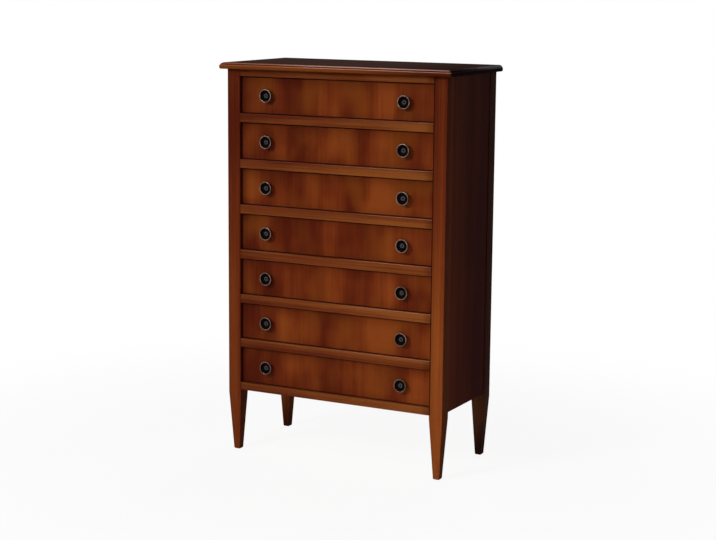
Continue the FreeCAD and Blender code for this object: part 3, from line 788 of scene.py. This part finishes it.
def antiqued_metal(name):
    """Pale metal where the rim was rubbed, grey on the boss and dark elsewhere, with turning lines.
    Both distances are in millimetres."""
    made, wire, place = new_finish(name)
    off_axis = wire.add("Attribute", {"attribute_name": "off_axis"}, {}, "Fac") * 1000
    off_drawer = wire.add("Attribute", {"attribute_name": "off_drawer"}, {}, "Fac") * 1000
    blotches = place.along((0.0035,) * 3).noise(3.0, 0.65)
    specks = place.along((0.0007,) * 3).noise(2.0)
    rubbed = place.along((0.016,) * 3).noise(1.0).ease(0.38, 0.66)
    ragged = (blotches - 0.5) * 1.4
    rim = (off_axis + ragged * 0.5).ease(17.4, 18.2) * (off_drawer + ragged).ease(15.0, 16.6)
    boss = (off_axis + ragged * 0.4).ease(7.4, 6.4) * off_drawer.ease(10.6, 11.9)
    bare = rim * (0.25 + rubbed * 0.55 + specks * 0.4)
    colour = bare.mix(DARKENED, BARE)
    colour = (boss * (0.45 + off_axis.ease(2.4, 4.6) * 0.55)).mix(colour, BOSS)
    lines = off_axis.add("TexNoise", {"noise_dimensions": "1D"}, {"W": off_axis * 6, "Detail": 1.0})
    relief = lines * 0.5 + blotches * 0.5
    close_finish(wire, {"Base Color": colour, "Metallic": bare.ease(0.0, 0.5),
                        "Roughness": 0.5 - bare * 0.15 + specks * 0.1,
                        "Normal": relief.bump(0.3, 0.0001), "Specular IOR Level": 0.0})
    return made


bronze = antiqued_metal("antique_bronze")
for knob in knobs.values():
    knob.data.materials.append(bronze)
print("knobs finished")

# %% [markdown]
# ## Screws
#
# Screws show behind the chest, inside the drawers and under the kickers. Their heads have a cross
# recess. A head is a square grid pressed into a disc: the point (u, v) goes to u times the root of
# one less half of v squared, and v likewise, so the square's border becomes the circle. The lines
# of the grid run straight across, and the walls of the recess can follow them. Below the rim the
# same border is carried down the side, along the shank and in to the point.

# %% A screw
# The cross: half an arm's width, its wall, its reach and its depth, as shares of the head's radius.
ARM_HALF, ARM_WALL, ARM_REACH, RECESS_DEPTH = 0.13, 0.04, 0.62, 0.42


def screw(head, crown, side):
    """Head of radius head, its middle crown above its rim; side lists (r, h) from the rim down.
    The head's height at r is crown (1 - r^2 / head^2), less the recess inside the cross's arms."""
    half, foot = ARM_HALF, ARM_HALF + ARM_WALL
    lines = np.unique(np.concatenate([np.linspace(-1, 1, 9), [-foot, -half, half, foot]]))
    u, v = np.meshgrid(lines, lines, indexing="ij")
    x, y = head * u * np.sqrt(1 - v * v / 2), head * v * np.sqrt(1 - u * u / 2)
    arm = np.where((abs(u) <= half) | (abs(v) <= half), 1.0, 0.0)
    fall = np.clip(1 - (np.maximum(abs(u), abs(v)) / ARM_REACH) ** 2, 0, 1)
    rim_height = side[0][1]
    h = rim_height + crown * (1 - (x * x + y * y) / head ** 2) - RECESS_DEPTH * head * arm * fall
    count = len(lines)
    number = np.arange(count * count).reshape(count, count)
    quads = [np.stack([number[:-1, :-1], number[1:, :-1], number[1:, 1:], number[:-1, 1:]], 2)]
    border = np.concatenate([number[:-1, 0], number[-1, :-1], number[:0:-1, -1], number[0, :0:-1]])
    points = [np.stack([x, y, h], 2).reshape(-1, 3)]
    direction = points[0][border, :2] / head
    previous, total = border, count * count
    for radius, height in side[1:-1]:
        ring = np.arange(total, total + len(border))
        points.append(np.column_stack([direction * radius, np.full(len(border), height)]))
        quads.append(np.stack([previous, ring, np.roll(ring, -1), np.roll(previous, -1)], 1))
        previous, total = ring, total + len(border)
    points.append(np.array([[0, 0, side[-1][1]]]))
    tip = np.stack([np.roll(previous, -1), previous, np.full(len(border), total)], 1)
    quads = np.concatenate([block.reshape(-1, 4) for block in quads])
    return np.concatenate(points) / 1000, quads, tip


PAN, FLAT = 4.0, 3.0    # radii of the two kinds of head, in millimetres
under_pan = [(PAN, 1.2), (PAN, 0.5), (3.9, 0.0), (2.0, 0.0)]
knob_screw = screw(PAN, 1.4, under_pan + [(2.0, -26.0), (0, -26.4)])
top_screw = screw(PAN, 1.3, under_pan + [(2.0, -29.0), (0, -33.0)])
back_screw = screw(FLAT, 0.0, [(FLAT, 0.0), (1.5, -1.5), (1.5, -15.0), (0, -18.0)])
print("a screw has", len(back_screw[1]), "quads")

# %% [markdown]
# ## Zinc plate
#
# Zinc plate is a thin bright skin with a bluish cast and a fine crystal bloom. So two noises, one
# finer than a millimetre and one of some millimetres, change how bright and how dull it is.

# %% Zinc plate
def zinc_plate(name):
    """Grey metal, its brightness and roughness mottled by noise at half a millimetre."""
    made, wire, place = new_finish(name)
    bloom = place.along((0.0006,) * 3).noise(3.0, 0.6)
    dull = place.along((0.004,) * 3).noise(2.0)
    colour = (bloom * 0.6 + dull * 0.4).ease(0.2, 0.8).mix((0.36, 0.37, 0.385), (0.62, 0.63, 0.64))
    close_finish(wire, {"Base Color": colour, "Metallic": 1.0, "Roughness": 0.28 + dull * 0.25,
                        "Normal": bloom.bump(0.2, 0.0001)})
    return made


zinc = zinc_plate("zinc_steel")
print("zinc plate ready")

# %% [markdown]
# ## The screws in their places
#
# The screws go where the solid ones are. The box round all the screws of a kind reaches one head's
# radius past the middle of the outermost, so the middles are that far inside it. The back is held
# by three screws along its top and its bottom, into the back rails, and by three up each side.

# %% Screws in place
OUT_OF_BACK = ((-1, 0, 0), (0, 0, 1), (0, 1, 0))
DOWNWARDS = ((1, 0, 0), (0, -1, 0), (0, 0, -1))
RAIL_SCREW_INSET = SIDE_SCREW_INSET = 0.090


def middles(box, head):
    """The lowest and highest middles of the screws' heads in a box; head is in millimetres."""
    low, high = box
    radius = head / 1000
    return low + Vector((radius,) * 3), high - Vector((radius,) * 3)


back_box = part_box("back_panel_screws")
low, high = middles(back_box, FLAT)
rail_x = post_inner - RAIL_SCREW_INSET
up_the_side = (low.z + SIDE_SCREW_INSET, (low.z + high.z) / 2, high.z - SIDE_SCREW_INSET)
back_places = ([(x, z) for z in (low.z, high.z) for x in (-rail_x, 0, rail_x)]
               + [(x, z) for x in (low.x, high.x) for z in up_the_side])
behind = back_box[1].y
sets = {"back_panel_screws": ("case", back_screw, [
    ((x, behind, z), OUT_OF_BACK) for x, z in back_places])}
low, high = middles(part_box("top_screws"), PAN)
under_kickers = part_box("kickers")[0].z
sets["top_screws"] = ("case", top_screw, [
    ((x, y, under_kickers), DOWNWARDS) for x in (low.x, high.x)
    for y in (low.y, (low.y + high.y) / 2, high.y)])
for n in DRAWERS:
    low, high = middles(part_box(f"drawer_{n}_knob_screws"), PAN)
    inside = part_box(f"drawer_{n}_front")[1].y
    sets[f"drawer_{n}_knob_screws"] = (f"drawer_{n}", knob_screw, [
        ((x, inside, (low.z + high.z) / 2), OUT_OF_BACK) for x in (low.x, high.x)])
for node_name, (body, parts, places) in sets.items():
    piece = gather(node_name.replace("screws", "cross_screws"), parts, places)
    piece.data.materials.append(zinc)
    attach(piece, body)
    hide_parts(node_name)
    print(piece.name, len(places), "screws,", round(volume_of(piece) * 1e6, 2), "cm3")

# %% [markdown]
# ## The studio
#
# The floor is a plain pale sheet that runs out of sight, and the world behind it is white. White
# seen by the camera comes from the colour of the floor and the world, not from more light: the
# world is white for what the camera, metal or glass sees, and only a soft grey for what lights
# the wood. Near the chest the floor keeps its own shading, and with it the chest's shadow; further
# out it turns into the same white as the world, so that no horizon shows.

# %% Floor and world
AMBIENT, FLOOR_WHITE = 0.14, 0.90
FLOOR_REACH = 15
world = bpy.data.worlds.new("studio")
bpy.context.scene.world = world
world.use_nodes = True
world.node_tree.nodes.clear()
wire = Wire(world.node_tree)


def sees_background(wire):
    """1 for a ray from the camera, from a glossy surface or through glass, and 0 for light."""
    seen = [wire.add("LightPath", {}, {}, name)
            for name in ("Is Camera Ray", "Is Glossy Ray", "Is Transmission Ray")]
    return seen[0].maths("MAXIMUM", seen[0], seen[1].maths("MAXIMUM", seen[1], seen[2]))


seen = sees_background(wire)
sky = wire.add("Background", {}, {"Color": (1, 1, 1, 1),
                                  "Strength": seen * (1 - AMBIENT) + AMBIENT})
wire.add("OutputWorld", {}, {"Surface": sky})

floor_finish, wire, place = new_finish("pale_floor")
distance = wire.add("VectorMath", {"operation": "LENGTH"}, {0: place}, "Value")
white = sees_background(wire) * (FLOOR_WHITE + distance.ease(0.6, 2.0) * (1 - FLOOR_WHITE))
paint = wire.add("BsdfDiffuse", {}, {"Color": (0.80, 0.80, 0.79, 1)})
glow = wire.add("Emission", {}, {"Color": (1, 1, 1, 1), "Strength": 1.0})
either = wire.add("MixShader", {}, {0: white, 1: paint, 2: glow})
wire.add("OutputMaterial", {}, {"Surface": either})

floor_mesh = bpy.data.meshes.new("floor")
floor_mesh.from_pydata([(x * FLOOR_REACH, y * FLOOR_REACH, 0)
                        for x, y in ((-1, -1), (1, -1), (1, 1), (-1, 1))], [], [(0, 1, 2, 3)])
floor_mesh.materials.append(floor_finish)
floor = bpy.data.objects.new("floor", floor_mesh)
bpy.context.scene.collection.objects.link(floor)
print("ambient level", AMBIENT)

# %% [markdown]
# ## Lamps
#
# The key is a lamp a metre square, to the left of the chest and twice as high. A grid narrows its
# beam, which is aimed low at the right of the front, so the front brightens from the upper left to
# the lower right. It draws a thin shadow under each rail and beside the left post, and puts the
# knobs' shadows to their right. A soft lamp above the front fills those shadows, a warm one low on
# the right lifts the lower drawers, a faint one overhead lays a sheen on the top, and one behind
# lights the back. A lamp's power is worked out from the level it gives: a surface that faces it
# from d metres reaches the level P over pi squared d squared, where 1 renders a colour as written.

# %% Lamps
def softbox(name, place, target, size, level, colour=(1, 1, 1), spread=180):
    """A lamp of size metres by metres at place, turned to target, which gives that level to a
    surface facing it there. A grid in front of it lets out a beam of spread degrees."""
    lamp = bpy.data.objects.new(name, bpy.data.lights.new(name, "AREA"))
    lamp.data.shape, (lamp.data.size, lamp.data.size_y) = "RECTANGLE", size
    reach = Vector(target) - Vector(place)
    half = math.radians(spread / 2)
    lamp.data.spread, lamp.data.color = 2 * half, colour
    lamp.data.energy = level * math.pi ** 2 * reach.length_squared * (1 - half / math.tan(half))
    lamp.location = place
    lamp.rotation_euler = reach.to_track_quat("-Z", "Y").to_euler()
    lamp.visible_camera = False
    bpy.context.scene.collection.objects.link(lamp)
    print(name, round(lamp.data.energy, 1), "W")


softbox("key", (-1.30, -3.35, 2.40), (0.25, case_front, 0.45), (1.0, 1.0), 0.74, spread=62)
softbox("front_sky", (0.4, -1.8, 2.9), (0, case_front, 0.5), (1.6, 1.2), 0.20)
softbox("low_fill", (0.85, -2.10, 0.25), (0.36, case_front, 0.25), (1.0, 0.7), 0.40,
        colour=(1.0, 0.94, 0.86), spread=70)
softbox("overhead", (-0.67, -0.35, 3.1), (0.1, top_low.y, top_high.z), (1.0, 0.35), 0.08)
softbox("behind", (-0.2, 3.4, 1.7), (0, 0.19, 0.8), (1.4, 1.4), 0.55)
